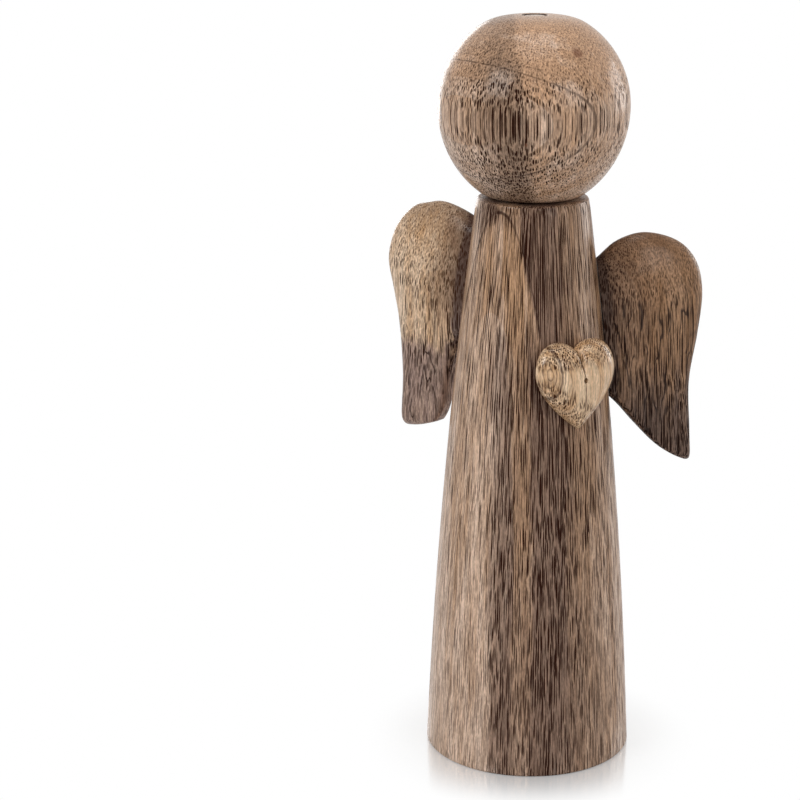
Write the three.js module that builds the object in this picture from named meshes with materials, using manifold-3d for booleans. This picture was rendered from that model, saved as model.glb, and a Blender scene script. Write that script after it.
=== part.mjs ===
// Turned wooden angel: a conical body, a ball head on a through dowel, two dowelled wings and a pinned heart.
// Millimetres, +Z up. The origin is the centre of the underside, and the figure faces -Y.
import * as THREE from 'three';
import { mergeVertices } from 'three/addons/utils/BufferGeometryUtils.js';
import Module from 'manifold-3d';

// Body
const bodyHeight = 153;
const baseDiameter = 56;
const neckDiameter = 29.5;
const bodySwell = 1.7; // how far the side stands out from a straight cone, half way up
const edgeRound = 0.8; // at the rims of the body
const turnedSides = 52;
const bodyRings = 12;

// Head
const headDiameter = 50;
const headSeatDiameter = 21; // the flat under the ball, glued to the body
const headTopDiameter = 17; // the flat round the end of the dowel
const headLowerHeight = 23.5; // from the seat up to the widest place
const headUpperHeight = 23.5;
const headRings = 10; // in each half

// Dowels and the brad
const neckDowelDiameter = 6;
const neckDowelDepth = 25; // into the body
const neckDowelRecess = 0.9; // below the top of the head
const wingDowelDiameter = 4;
const wingDowelDepth = 8; // into the body, and as much into the wing
const dowelChamfer = 0.5;
const dowelSides = 20;
const bradDiameter = 1.1;
const bradSink = 0.8; // below the front of the heart
const bradDepth = 9; // into the body
const bradChamfer = 0.15;
const bradSides = 10;

// Wings: points of each outline, as [reach from the axis, drop from the top of the body]
const wingSweep = 24; // degrees behind straight sideways
const wingRootReach = 11; // the blank starts here, and its root is coped to the body
const wingThickness = 10;
const wingTipThickness = 5.5;
const wingFrontShare = 0.62; // of the thickness, in front of the outline
const wingOutlineSteps = 60;
const leftWing = {
  rootTop: [wingRootReach, 21],
  outer: [[17.7, 16.9], [23, 12.6], [30.6, 10.7], [39.5, 13.2], [44.9, 18.9], [47, 27.5], [45.9, 38.5],
    [43.8, 52], [44.3, 66], [44.4, 72.6]],
  tip: [42.9, 74.4],
  lower: [[38.7, 72], [33.8, 68.5], [28.1, 62.5], [22.9, 56.6], [17, 51.5]],
  rootBottom: [wingRootReach, 48],
  ridgeTop: [30.5, 27],
  ridgeTip: [41.3, 68],
  dowelDrops: [24, 40],
};
const rightWing = {
  rootTop: [wingRootReach, 11.5],
  outer: [[21.5, 6.4], [26.5, 4.8], [32, 5.1], [39.6, 7.1], [45.4, 13.2], [48.1, 21.8], [46.3, 30],
    [43.5, 41.5], [42.4, 54], [43, 66.5]],
  tip: [41.6, 69.5],
  lower: [[35.9, 68.3], [30.5, 66.6], [27.6, 61], [25.4, 50], [21, 41]],
  rootBottom: [wingRootReach, 34],
  ridgeTop: [30.5, 22],
  ridgeTip: [38.6, 62],
  dowelDrops: [14, 26],
};

// Heart, measured from the brad in its middle
const heartDrop = 44.4; // of the brad below the top of the body
const heartAzimuth = 43.5; // degrees from the front towards the left arm
const heartWidth = 23.6;
const heartNotchRise = 7.4;
const heartLobeRise = 9.8;
const heartWidestRise = 2.4;
const heartTipDrop = 13.4;
const heartThickness = 7.5;
const heartFrontShare = 0.72; // of the thickness, in front of the outline
const heartSeat = 0.9; // depth of the hollow that seats the heart on the round body
const heartLobeHandles = [[0.2, 1], [0.95, 2.2]]; // share of the half width, rise above the lobe
const heartSideHandles = [[1, 0.3], [0.35, 0.76]]; // share of the half width, share of the tip's drop
const heartRidge = [[0.45, 0.3], [0, -0.42]]; // from lobe to foot, as shares of half width and tip's drop
const heartOutlineSteps = 14;

// Angles from the outline up to the flat top of a wing or the heart, and how much of the way in they reach
const cushionAngles = [15, 35, 55, 75];
const cushionReach = 0.9;

// Clearances
const glueLine = 0.3; // between glued faces
const dowelClearance = 0.2; // round a dowel
const bradClearance = 0.15; // round the brad
const socketEndGap = 0.6; // past the end of a dowel
const socketChamfer = 0.1;
const overcut = 1; // how far a cut runs past the face that it leaves

const wasm = await Module();
wasm.setup();

const degrees = THREE.MathUtils.degToRad;
const { lerp, clamp } = THREE.MathUtils;

// Solids: a closed mesh with shared vertices, for cutting, and back again
function solidFrom(geometry) {
  const bare = geometry.clone();
  bare.deleteAttribute('normal');
  bare.deleteAttribute('uv');
  const merged = mergeVertices(bare, 1e-4);
  const triangles = [];
  for (let i = 0; i < merged.index.count; i += 3) {
    const [a, b, c] = [0, 1, 2].map((k) => merged.index.getX(i + k));
    if (a !== b && b !== c && c !== a) triangles.push(a, b, c);
  }
  const vertProperties = new Float32Array(merged.attributes.position.array);
  const triVerts = new Uint32Array(triangles);
  return new wasm.Manifold(new wasm.Mesh({ numProp: 3, vertProperties, triVerts }));
}

function geometryFrom(solid) {
  const mesh = solid.getMesh();
  const geometry = new THREE.BufferGeometry();
  geometry.setAttribute('position', new THREE.BufferAttribute(mesh.vertProperties, 3));
  geometry.setIndex(new THREE.BufferAttribute(mesh.triVerts, 1));
  geometry.computeVertexNormals();
  return geometry;
}

// A shape turned about the Z axis from [radius, height] points
function turned(points, sides) {
  const profile = points.map(([radius, height]) => new THREE.Vector2(radius, height));
  return new THREE.LatheGeometry(profile, sides).rotateX(Math.PI / 2);
}

// A round pin along the Z axis, with chamfered ends
function pin(radius, from, to, chamfer, sides) {
  const points = [[0, from], [radius - chamfer, from], [radius, from + chamfer],
    [radius, to - chamfer], [radius - chamfer, to], [0, to]];
  return turned(points, sides);
}

function wood(colour, roughness = 0.55) {
  return new THREE.MeshStandardMaterial({ color: colour, roughness, metalness: 0 });
}

function piece(name, geometry, material) {
  const mesh = new THREE.Mesh(geometry, material);
  mesh.name = name;
  return mesh;
}

const figure = new THREE.Group();

// Body: a cone with a slight swell, solid but for the sockets that the other pieces cut in it
function bodyRadius(height) {
  const up = height / bodyHeight;
  return lerp(baseDiameter / 2, neckDiameter / 2, up) + 4 * bodySwell * up * (1 - up);
}

function bodyProfile(offset) {
  const top = bodyHeight + offset;
  const points = [[0, -offset], [bodyRadius(0) + offset - edgeRound, -offset]];
  for (let i = 0; i <= bodyRings; i += 1) {
    const height = lerp(edgeRound, bodyHeight - edgeRound, i / bodyRings);
    points.push([bodyRadius(height) + offset, height]);
  }
  points.push([bodyRadius(bodyHeight) + offset - edgeRound, top], [0, top]);
  return points;
}

const bodyEnvelope = turned(bodyProfile(glueLine), turnedSides); // the body and the glue round it
let bodySolid = solidFrom(turned(bodyProfile(0), turnedSides));

// Head: two half ellipses of one width, cut off at the seat and at the top, and drilled through
const headSeat = bodyHeight + glueLine;
const headTop = headSeat + headLowerHeight + headUpperHeight;
const neckBore = neckDowelDiameter / 2 + dowelClearance;

function headCurve(flatDiameter, height) {
  const fullHeight = height / Math.sqrt(1 - (flatDiameter / headDiameter) ** 2);
  const flatAngle = Math.asin(flatDiameter / headDiameter);
  const points = [];
  for (let i = 0; i <= headRings; i += 1) {
    const angle = lerp(flatAngle, Math.PI / 2, i / headRings);
    points.push([(headDiameter / 2) * Math.sin(angle), fullHeight * Math.cos(angle)]);
  }
  return points;
}

function addHead() {
  const middle = headSeat + headLowerHeight;
  const lower = headCurve(headSeatDiameter, headLowerHeight).map(([r, h]) => [r, middle - h]);
  const upper = headCurve(headTopDiameter, headUpperHeight).map(([r, h]) => [r, middle + h]);
  const profile = [[0, headSeat], ...lower, ...upper.reverse().slice(1), [0, headTop]];
  const bore = pin(neckBore, headSeat - overcut, headTop + overcut, socketChamfer, dowelSides);
  const solid = solidFrom(turned(profile, turnedSides)).subtract(solidFrom(bore));
  figure.add(piece('head', geometryFrom(solid), wood('#80644a')));
}

function addNeckDowel() {
  const bottom = bodyHeight - neckDowelDepth;
  const top = headTop - neckDowelRecess;
  const dowel = pin(neckDowelDiameter / 2, bottom, top, dowelChamfer, dowelSides);
  const socket = pin(neckBore, bottom - socketEndGap, bodyHeight + overcut, socketChamfer, dowelSides);
  bodySolid = bodySolid.subtract(solidFrom(socket));
  figure.add(piece('neck_dowel', dowel, wood('#8d8377', 0.7)));
}

// A cushion-like solid on an outline in x and z, counter-clockwise seen from -Y.
// Both faces rise from the outline towards the ridge, and the front faces -Y, or +Y if facing is 1.
function cushion(outline, ridge, frontHeight, backHeight, facing) {
  const ring = (angle, side, height) => outline.map((point) => {
    const target = ridge(point);
    const place = point.clone().lerp(target, cushionReach * (1 - Math.cos(angle)));
    return new THREE.Vector3(place.x, side * height(target) * Math.sin(angle), place.y);
  });
  const angles = cushionAngles.map(degrees);
  const rings = [
    ...angles.toReversed().map((angle) => ring(angle, -facing, backHeight)),
    ring(0, facing, frontHeight),
    ...angles.map((angle) => ring(angle, facing, frontHeight)),
  ];

  const count = outline.length;
  const triangles = [];
  for (let row = 0; row + 1 < rings.length; row += 1) {
    for (let i = 0; i < count; i += 1) {
      const a = row * count + i;
      const b = row * count + ((i + 1) % count);
      triangles.push([a, b, b + count], [a, b + count, a + count]);
    }
  }
  const fill = (points) => THREE.ShapeUtils.triangulateShape(points.map(({ x, z }) => new THREE.Vector2(x, z)), []);
  const lastRing = (rings.length - 1) * count;
  for (const [a, b, c] of fill(rings[0])) triangles.push([c, b, a]);
  for (const face of fill(rings.at(-1))) triangles.push(face.map((corner) => corner + lastRing));

  const geometry = new THREE.BufferGeometry();
  const positions = rings.flat().flatMap((point) => point.toArray());
  geometry.setAttribute('position', new THREE.Float32BufferAttribute(positions, 3));
  geometry.setIndex(triangles.flatMap((face) => (facing < 0 ? face : face.toReversed())));
  return geometry;
}

// The share of the way from start to end that lies nearest to a point
function shareAlong(start, end, point) {
  const line = end.clone().sub(start);
  return clamp(point.clone().sub(start).dot(line) / line.lengthSq(), 0, 1);
}

function counterClockwise(points) {
  return THREE.ShapeUtils.isClockWise(points) ? points.toReversed() : points;
}

// Wings: a blank coped to the body, on two dowels, in a group turned to the wing's own direction
function addWing(name, wing, facing, turn, colour) {
  const frame = new THREE.Group();
  frame.rotation.z = turn;
  frame.updateMatrixWorld(true);
  figure.add(frame);

  const place = ([reach, drop]) => new THREE.Vector2(reach, bodyHeight - drop);
  const shape = new THREE.Shape();
  shape.moveTo(...place(wing.rootBottom));
  shape.splineThru(wing.lower.toReversed().map(place));
  shape.lineTo(...place(wing.tip));
  shape.splineThru(wing.outer.toReversed().map(place));
  shape.lineTo(...place(wing.rootTop));
  shape.closePath();
  const outline = counterClockwise(shape.getSpacedPoints(wingOutlineSteps).slice(0, -1));

  const ridgeTop = place(wing.ridgeTop);
  const ridgeTip = place(wing.ridgeTip);
  const ridge = (point) => ridgeTop.clone().lerp(ridgeTip, shareAlong(ridgeTop, ridgeTip, point));
  const thickness = (point) => lerp(wingThickness, wingTipThickness, shareAlong(ridgeTop, ridgeTip, point));
  const front = (point) => thickness(point) * wingFrontShare;
  const back = (point) => thickness(point) * (1 - wingFrontShare);
  const blank = cushion(outline, ridge, front, back, facing);
  let solid = solidFrom(blank).subtract(solidFrom(bodyEnvelope));

  const middle = facing * wingThickness * (wingFrontShare - 0.5); // half way between front and back
  const radius = wingDowelDiameter / 2;
  const dowelPlaces = ['upper', 'lower'];
  wing.dowelDrops.forEach((drop, i) => {
    const height = bodyHeight - drop;
    const inner = bodyRadius(height) - wingDowelDepth;
    const outer = bodyRadius(height) + wingDowelDepth;
    const dowel = pin(radius, inner, outer, dowelChamfer, dowelSides);
    const socket = pin(radius + dowelClearance, inner - socketEndGap, outer + socketEndGap, socketChamfer,
      dowelSides);
    for (const shape of [dowel, socket]) shape.rotateY(Math.PI / 2).translate(0, middle, height);
    solid = solid.subtract(solidFrom(socket));
    bodySolid = bodySolid.subtract(solidFrom(socket.clone().applyMatrix4(frame.matrixWorld)));
    frame.add(piece(`${name}_${dowelPlaces[i]}_dowel`, dowel, wood('#a98a63', 0.7)));
  });
  frame.add(piece(name, geometryFrom(solid), wood(colour)));
}

// Heart: seated on the front of the body, leaning back with its side, and pinned through its middle
function heartOutline() {
  const half = heartWidth / 2;
  const [lobeIn, lobeOut] = heartLobeHandles.map(([x, rise]) => [x * half, heartLobeRise + rise]);
  const [sideTop, sideFoot] = heartSideHandles.map(([x, drop]) => [x * half, -drop * heartTipDrop]);
  const rightSide = new THREE.Shape();
  rightSide.moveTo(0, heartNotchRise);
  rightSide.bezierCurveTo(...lobeIn, ...lobeOut, half, heartWidestRise);
  rightSide.bezierCurveTo(...sideTop, ...sideFoot, 0, -heartTipDrop);
  const right = rightSide.getPoints(heartOutlineSteps);
  const left = right.slice(1, -1).map(({ x, y }) => new THREE.Vector2(-x, y));
  return counterClockwise([...right, ...left.reverse()]);
}

function addHeart() {
  const height = bodyHeight - heartDrop;
  const frontHeight = heartThickness * heartFrontShare;
  const backHeight = heartThickness - frontHeight;
  const seatDepth = backHeight - heartSeat; // from the outline back to the side of the body
  const turn = new THREE.Group();
  turn.rotation.z = degrees(heartAzimuth);
  figure.add(turn);
  const frame = new THREE.Group();
  frame.position.set(0, -(bodyRadius(height) + seatDepth), height);
  frame.rotation.x = -Math.atan(bodyRadius(height) - bodyRadius(height + 1)); // the lean of the side here
  turn.add(frame);
  turn.updateMatrixWorld(true);

  const [lobe, foot] = heartRidge.map(([x, y]) => new THREE.Vector2(x * heartWidth / 2, y * heartTipDrop));
  const ridge = (point) => {
    const mirrored = new THREE.Vector2(Math.abs(point.x), point.y);
    const target = lobe.clone().lerp(foot, shareAlong(lobe, foot, mirrored));
    return target.setX(target.x * Math.sign(point.x));
  };
  const blank = cushion(heartOutline(), ridge, () => frontHeight, () => backHeight, -1);
  const bodyFromHeart = bodyEnvelope.clone().applyMatrix4(frame.matrixWorld.clone().invert());

  const radius = bradDiameter / 2;
  const bradEnd = -(seatDepth + bradDepth);
  const brad = pin(radius, bradEnd, frontHeight - bradSink, bradChamfer, bradSides);
  const hole = pin(radius + bradClearance, bradEnd - socketEndGap, frontHeight + overcut, socketChamfer, bradSides);
  for (const shape of [brad, hole]) shape.rotateX(Math.PI / 2); // along -Y, out of the front
  const solid = solidFrom(blank).subtract(solidFrom(bodyFromHeart)).subtract(solidFrom(hole));
  bodySolid = bodySolid.subtract(solidFrom(hole.clone().applyMatrix4(frame.matrixWorld)));
  frame.add(piece('heart', geometryFrom(solid), wood('#b08a58')));
  const steel = new THREE.MeshStandardMaterial({ color: '#3a332c', roughness: 0.6, metalness: 0.8 });
  frame.add(piece('heart_brad', brad, steel));
}

const sweep = degrees(wingSweep);
addHead();
addNeckDowel();
addWing('left_wing', leftWing, -1, sweep, '#7a5a3d');
addWing('right_wing', rightWing, 1, Math.PI - sweep, '#86653f');
addHeart();
figure.add(piece('body', geometryFrom(bodySolid), wood('#7d6148')));

export default figure;
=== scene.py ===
import math
import bpy
import bmesh
from mathutils import Matrix, Vector
from mathutils.geometry import interpolate_bezier


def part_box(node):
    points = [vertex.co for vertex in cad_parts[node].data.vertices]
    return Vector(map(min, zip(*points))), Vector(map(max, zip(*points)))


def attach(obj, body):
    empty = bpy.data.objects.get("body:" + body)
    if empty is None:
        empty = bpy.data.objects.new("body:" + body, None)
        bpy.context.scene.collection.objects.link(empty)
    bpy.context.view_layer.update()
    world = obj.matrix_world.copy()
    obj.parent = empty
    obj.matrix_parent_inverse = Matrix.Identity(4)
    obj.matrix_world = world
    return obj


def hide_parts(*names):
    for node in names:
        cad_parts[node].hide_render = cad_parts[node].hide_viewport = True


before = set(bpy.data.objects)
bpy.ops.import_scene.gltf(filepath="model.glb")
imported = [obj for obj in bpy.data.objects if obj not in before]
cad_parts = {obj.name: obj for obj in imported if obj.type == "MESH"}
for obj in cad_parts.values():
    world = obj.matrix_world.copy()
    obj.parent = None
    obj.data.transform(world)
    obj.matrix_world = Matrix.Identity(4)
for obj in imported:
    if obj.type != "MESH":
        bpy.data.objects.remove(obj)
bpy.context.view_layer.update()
mm = 0.001
mergeDistance = 1e-7
print("frame loaded:", ", ".join(sorted(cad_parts)))

# the camera stands where the photographer stood, a little to the figure's left and above it
cameraSetup = {
    "azimuth": 11.0,      # degrees round from the front, towards the left wing
    "distance": 571.4,    # mm from the axis of the body
    "height": 259.1,      # mm above the floor
    "pitch": 15.8,        # degrees down
    "aimLeft": 3.52,      # degrees, which puts the figure right of the middle
    "roll": -0.3,
    "lens": 99.2,
    "sensor": 36.0,
    "clip": 10.0,
}


# a new object at the origin, linked into the scene
def newObject(name, data):
    made = bpy.data.objects.new(name, data)
    bpy.context.scene.collection.objects.link(made)
    return made


def placeCamera(setup):
    cameraData = bpy.data.cameras.new("camera")
    cameraData.lens = setup["lens"]
    cameraData.sensor_width = setup["sensor"]
    cameraData.clip_start = setup["clip"] * mm
    camera = newObject("camera", cameraData)
    azimuth = math.radians(setup["azimuth"])
    out = setup["distance"] * mm
    place = Matrix.Translation((out * math.sin(azimuth), -out * math.cos(azimuth), setup["height"] * mm))
    heading = Matrix.Rotation(azimuth + math.radians(setup["aimLeft"]), 4, "Z")
    tilt = Matrix.Rotation(math.radians(90 - setup["pitch"]), 4, "X")
    roll = Matrix.Rotation(math.radians(setup["roll"]), 4, "Z")
    camera.matrix_world = place @ heading @ tilt @ roll
    bpy.context.scene.camera = camera


placeCamera(cameraSetup)
print("camera placed")


# small helpers for shader trees, which are built one at a time; the bench holds the present one
bench = {}


# an empty tree for a material or the room
def freshTree(holder):
    holder.use_nodes = True
    holder.node_tree.nodes.clear()
    bench["tree"] = holder.node_tree


def feed(socket, value):
    if isinstance(value, bpy.types.NodeSocket):
        bench["tree"].links.new(value, socket)
    else:
        socket.default_value = value


def addNode(kind, feeds=None, **settings):
    made = bench["tree"].nodes.new("ShaderNode" + kind)
    for key, value in settings.items():
        setattr(made, key, value)
    for socket, value in (feeds or {}).items():
        feed(made.inputs[socket], value)
    return made


def sums(operation, first, second=0.0, third=0.0, clamp=False):
    made = addNode("Math", {0: first, 1: second, 2: third}, operation=operation, use_clamp=clamp)
    return made.outputs[0]


def times(first, second):
    return sums("MULTIPLY", first, second)


# the first times the second, and the third added
def timesPlus(first, second, third):
    return sums("MULTIPLY_ADD", first, second, third)


def minus(first, second):
    return sums("SUBTRACT", first, second)


def over(first, second):
    return sums("DIVIDE", first, second)


def larger(first, second):
    return sums("MAXIMUM", first, second)


def vectorSum(operation, first, second):
    socket = 3 if operation == "SCALE" else 1  # a scale has a socket of its own
    return addNode("VectorMath", {0: first, socket: second}, operation=operation).outputs[0]


# a length, a distance or a dot product
def vectorValue(operation, first, second=(0.0, 0.0, 0.0)):
    return addNode("VectorMath", {0: first, 1: second}, operation=operation).outputs["Value"]


def joined(*parts):
    return addNode("CombineXYZ", dict(enumerate(parts))).outputs[0]


# sockets 0, 6 and 7 are the node's factor and its two colours, and output 2 is the mixed colour
def mixColour(factor, first, second):
    made = addNode("Mix", data_type="RGBA")
    for socket, value in ((0, factor), (6, first), (7, second)):
        feed(made.inputs[socket], value)
    return made.outputs[2]


def noise(vector, scale, detail=2.0, roughness=0.5):
    scaled = addNode("Mapping", {"Vector": vector, "Scale": scale}).outputs[0]
    made = addNode("TexNoise", {"Vector": scaled, "Scale": 1.0, "Detail": detail, "Roughness": roughness})
    return made.outputs


# noise about zero
def sway(vector, scale, detail=2.0, roughness=0.5):
    return minus(noise(vector, scale, detail, roughness)["Fac"], 0.5)


# the same with more fine detail, for ragged edges
def streaks(vector, scale, detail=3.0, roughness=0.6):
    return sway(vector, scale, detail, roughness)


def ramp(value, low, high, toLow=0.0, toHigh=1.0, smooth=True):
    made = addNode("MapRange", {"Value": value, "From Min": low, "From Max": high,
                                "To Min": toLow, "To Max": toHigh}, clamp=True)
    made.interpolation_type = "SMOOTHSTEP" if smooth else "LINEAR"
    return made.outputs[0]


# a colour code as linear light, by the usual curve for screens
def hexColour(code):
    parts = [int(code[i:i + 2], 16) / 255 for i in (0, 2, 4)]
    linear = [p / 12.92 if p <= 0.04045 else ((p + 0.055) / 1.055) ** 2.4 for p in parts]
    return (*linear, 1.0)


# solid wood with its grain up Z: the pores are upright tubes, so they show as long dashes on
# upright faces and as dots on end grain; all lengths inside the group are in mm
woodInputs = {
    "Shade": 0.0,         # how much dark heartwood
    "Warmth": 0.0,        # how much more of the warm colour
    "Upright": 1.0,       # how much the second layer of pores shows
    "PoreAmount": 0.9,
    "PoreGap": 1.0,
    "PoreRadius": 0.22,
    "PoreScale": 1.0,     # widens the pores' places with height, so that they can follow a taper
    "PithX": 0.0,
    "PithY": 80.0,
    "RingWidth": 4.0,
    "RingLine": 0.2,
    "KeyRing": 500.0,     # distance of one strong ring from the pith
    "KeyLine": 0.0,
    "KeyWidth": 0.13,
    "Fibre": 0.5,
    "Wander": 1.0,
    "Gloss": 0.25,        # weight of the wax coat between the pores
    "Seed": 0.0,
}
# what all the wood shares: three numbers are scales of noise per mm, and a ramp has its two ends
# and then the values there
woodFigure = {
    "slowBend": (0.03, 0.03, 0.01),
    "slowReach": 5.0,
    "quickBend": (0.2, 0.2, 0.03),
    "quickReach": 0.35,
    "lineRise": (0.72, 0.95),     # the dark line within a ring
    "lineFall": (0.95, 1.0, 1.0, 0.0),
    "lineTones": (0.2, 0.9),
    "lineBreaks": (0.3, 0.3, 0.1),
    "breakRamp": (0.35, 0.6, 0.35, 1.0),
    "keyEdge": (1.0, 0.25),
    "fine": (1.9, 1.9, 0.1),
    "speck": (3.0, 3.0, 0.9),
    "broad": (0.5, 0.5, 0.012),
    "broadNoise": (4.0, 0.6),     # detail and roughness
    "blotch": (0.1, 0.1, 0.02),
    "scatter": 0.7,               # how unevenly the pores lie
    "poreWidths": (0.7, 0.6),     # the spread of their widths and the least
    "poreEdge": (1.05, 0.75),
    "darkWidths": (0.35, 0.92),   # they are wider in dark wood
    "secondShift": (31.3, 17.7, 0.0),
    "thirdShift": (7.1, 52.9, 0.0),
    "thirdGap": 0.7,              # the third layer is finer and fainter
    "thirdWidth": 0.6,
    "thirdShare": 0.7,
    "runs": (1.1, 1.1, 0.08),     # pores come and go along the grain
    "runRamp": (0.34, 0.5, 0.35, 1.0),
    "patches": (0.16, 0.16, 0.025),
    "patchRamp": (0.3, 0.6, 0.7, 1.0),
    "darkPores": (0.4, 0.68),     # they are stronger in dark wood
    "ringSpread": 0.5,            # shares of the rings, blotches and broad streaks in the figure
    "blotchShare": 1.6,
    "broadShare": 1.8,
    "darkRagged": 0.9,
    "darkRamp": (0.1, 1.0),
    "speckShare": 0.7,
    "roughness": 0.4,
    "fineRough": 0.15,
    "poreRough": 0.25,
    "fineHeight": 0.25,
    "lineDepth": 0.4,
}


def makeWoodGroup(figure):
    tree = bpy.data.node_groups.new("solidWood", "ShaderNodeTree")
    bench["tree"] = tree
    face = tree.interface
    face.new_socket("Vector", in_out="INPUT", socket_type="NodeSocketVector")
    for name in ("Pale", "Warm", "Dark", "Pore"):
        face.new_socket(name, in_out="INPUT", socket_type="NodeSocketColor")
    for name, value in woodInputs.items():
        face.new_socket(name, in_out="INPUT", socket_type="NodeSocketFloat").default_value = value
    face.new_socket("Colour", in_out="OUTPUT", socket_type="NodeSocketColor")
    for name in ("Roughness", "Height", "Polish"):
        face.new_socket(name, in_out="OUTPUT", socket_type="NodeSocketFloat")
    given = tree.nodes.new("NodeGroupInput").outputs
    result = tree.nodes.new("NodeGroupOutput").inputs

    # moved along by the seed so that no two pieces share their figure
    seed = joined(given["Seed"], given["Seed"], given["Seed"])
    point = vectorSum("SCALE", given["Vector"], 1 / mm)
    own = vectorSum("ADD", point, seed)

    # the grain bends slowly and a little more quickly
    def bend(scale, reach):
        aside = vectorSum("SUBTRACT", noise(own, scale)["Color"], (0.5, 0.5, 0.5))
        return vectorSum("SCALE", aside, reach)

    slow = bend(figure["slowBend"], times(given["Wander"], figure["slowReach"]))
    quick = bend(figure["quickBend"], figure["quickReach"])
    bent = vectorSum("ADD", point, slow)
    widen = joined(given["PoreScale"], given["PoreScale"], 1.0)
    followed = vectorSum("ADD", vectorSum("MULTIPLY", point, widen), seed)
    grain = vectorSum("ADD", vectorSum("ADD", followed, slow), quick)

    # growth rings about an upright pith, each with its own tone and strength
    split = addNode("SeparateXYZ", {0: bent}).outputs
    fromPithX = minus(split[0], given["PithX"])
    fromPithY = minus(split[1], given["PithY"])
    distance = vectorValue("LENGTH", joined(fromPithX, fromPithY))
    rings = over(distance, given["RingWidth"])
    phase = sums("FRACT", rings)
    number = sums("FLOOR", rings)
    ringTone = addNode("TexWhiteNoise", {"W": number}, noise_dimensions="1D").outputs["Value"]
    rising = ramp(phase, *figure["lineRise"])
    falling = ramp(phase, *figure["lineFall"])
    broken = ramp(noise(own, figure["lineBreaks"])["Fac"], *figure["breakRamp"])
    ringLine = times(times(rising, falling), given["RingLine"])
    ringLine = times(ringLine, ramp(ringTone, *figure["lineTones"]))
    offKey = sums("ABSOLUTE", minus(distance, given["KeyRing"]))
    keyShare = ramp(over(offKey, given["KeyWidth"]), *figure["keyEdge"])
    keyLine = times(keyShare, given["KeyLine"])
    ringLine = times(larger(ringLine, keyLine), broken)

    # fibres and figure, as streaks along the grain
    fine = streaks(grain, figure["fine"])
    speck = sway(grain, figure["speck"])
    broad = sway(grain, figure["broad"], *figure["broadNoise"])
    blotch = sway(grain, figure["blotch"])

    # pores, each of its own width, fading in and out along its length
    def poreLayer(gap, radius, shift):
        moved = vectorSum("ADD", grain, shift)
        scaled = vectorSum("SCALE", moved, over(1.0, gap))
        cells = addNode("TexVoronoi", {"Vector": scaled, "Scale": 1.0, "Randomness": figure["scatter"]},
                        voronoi_dimensions="2D", feature="F1").outputs
        each = addNode("SeparateColor", {0: cells["Color"]}).outputs[0]
        wide = times(radius, timesPlus(each, *figure["poreWidths"]))
        off = times(cells["Distance"], gap)
        return ramp(over(off, wide), *figure["poreEdge"])

    gap = given["PoreGap"]
    wider = times(given["PoreRadius"], timesPlus(given["Shade"], *figure["darkWidths"]))
    first = poreLayer(gap, wider, (0.0, 0.0, 0.0))
    second = times(poreLayer(gap, wider, figure["secondShift"]), given["Upright"])
    closer = times(gap, figure["thirdGap"])
    third = poreLayer(closer, times(wider, figure["thirdWidth"]), figure["thirdShift"])
    pores = larger(larger(first, second), times(third, figure["thirdShare"]))
    runs = ramp(noise(grain, figure["runs"], detail=1.0)["Fac"], *figure["runRamp"])
    patch = ramp(noise(grain, figure["patches"], detail=1.0)["Fac"], *figure["patchRamp"])
    darker = timesPlus(given["Shade"], *figure["darkPores"])
    pores = times(times(pores, runs), times(patch, darker))
    pores = sums("MULTIPLY", pores, given["PoreAmount"], clamp=True)

    # colour: pale to warm by the figure, then the dark heartwood, the fibres, ring lines and pores
    warmer = timesPlus(minus(ringTone, 0.5), figure["ringSpread"], 0.5)
    warmer = timesPlus(broad, figure["broadShare"], warmer)
    warmer = timesPlus(blotch, figure["blotchShare"], warmer)
    warmer = sums("ADD", warmer, given["Warmth"], clamp=True)
    colour = mixColour(warmer, given["Pale"], given["Warm"])
    ragged = timesPlus(broad, figure["darkRagged"], given["Shade"])
    colour = mixColour(ramp(ragged, *figure["darkRamp"]), colour, given["Dark"])
    tone = timesPlus(timesPlus(speck, figure["speckShare"], fine), given["Fibre"], 1.0)
    colour = vectorSum("SCALE", colour, tone)
    colour = mixColour(ringLine, colour, given["Pore"])
    colour = mixColour(pores, colour, given["Pore"])
    feed(result["Colour"], colour)

    rough = timesPlus(fine, figure["fineRough"], figure["roughness"])
    feed(result["Roughness"], timesPlus(pores, figure["poreRough"], rough))
    feed(result["Polish"], times(minus(1.0, pores), given["Gloss"]))
    height = minus(times(fine, figure["fineHeight"]), pores)
    feed(result["Height"], timesPlus(ringLine, -figure["lineDepth"], height))
    return tree


woodGroup = makeWoodGroup(woodFigure)
woodFinish = {
    "bump": 0.6,
    "bumpDepth": 0.15,    # mm
    "waxRoughness": 0.2,
    "shine": 0.05,
    "ragged": (350, 350, 25),  # scale of the streaks along the edges of dark bands, per metre
}


# height in mm
def heightOf(point):
    return over(addNode("SeparateXYZ", {0: point}).outputs[2], mm)


# a ramp between two heights
def heightRamp(point, *ends):
    return ramp(heightOf(point), *ends)


# a place in mm, laid level
def levelled(point):
    return vectorSum("MULTIPLY", point, (1 / mm, 1 / mm, 0.0))


# how far a point lies along a level direction, in mm, leaning with height and with a ragged edge
def figurePlace(point, heading, lean=0.0, level=0.0, ragged=0.0, lowest=-500.0):
    angle = math.radians(heading)
    along = vectorValue("DOT_PRODUCT", point, (math.cos(angle) / mm, math.sin(angle) / mm, 0.0))
    up = larger(minus(heightOf(point), level), lowest)
    place = timesPlus(up, lean, along)
    return timesPlus(streaks(point, woodFinish["ragged"]), ragged, place)


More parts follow.
